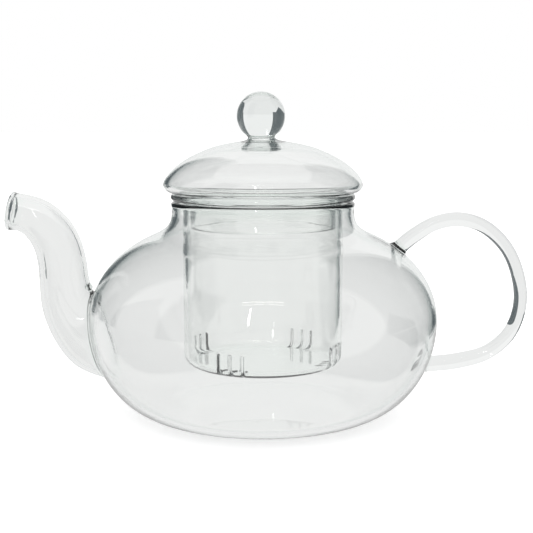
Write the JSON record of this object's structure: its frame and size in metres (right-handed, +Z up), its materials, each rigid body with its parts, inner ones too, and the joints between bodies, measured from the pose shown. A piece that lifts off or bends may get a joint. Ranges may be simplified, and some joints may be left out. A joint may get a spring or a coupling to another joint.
{
  "type": "teapot",
  "caption": "Clear glass teapot: squat blown pot with S-curved spout and looped rod handle, a slit glass infuser cup hanging in its mouth, and a hollow domed lid with ball knob.",
  "frame": {"origin": "centre of the flat base, on the surface the pot stands on", "axes": "+Z up along the pot's axis of turning, +X towards the handle, -X towards the spout, Y across the thin side of the handle"},
  "size_m": [0.215, 0.1434, 0.1328],
  "materials": {
    "clear_glass": "thin clear blown borosilicate glass, polished",
    "thick_glass": "thick fire-polished glass bead, faint green-grey tint",
    "rod_glass": "solid clear glass rod or ball, polished"
  },
  "bodies": {
    "pot": {"pot_bulb": "clear_glass", "pot_neck": "clear_glass", "pot_mouth_bead": "thick_glass", "spout_tube": "clear_glass", "spout_lip_bead": "thick_glass", "spout_weld_ring": "thick_glass", "spout_crotch_bead": "thick_glass", "handle_rod": "rod_glass", "handle_upper_weld": "thick_glass", "handle_lower_weld": "thick_glass"},
    "infuser": {"infuser_cup": "clear_glass", "infuser_rim_bead": "thick_glass"},
    "lid": {"lid_dome": "clear_glass", "lid_collar": "clear_glass", "lid_skirt": "clear_glass", "lid_knob": "rod_glass", "lid_knob_neck": "thick_glass", "lid_weld_blob": "thick_glass"}
  },
  "joints": [
    {"name": "infuser_lift", "type": "slide", "parent": "pot", "child": "infuser", "axis": [0, 0, 1], "range_m": [0, 0.085]},
    {"name": "lid_lift", "type": "slide", "parent": "infuser", "child": "lid", "axis": [0, 0, 1], "range_m": [0, 0.04]}
  ]
}
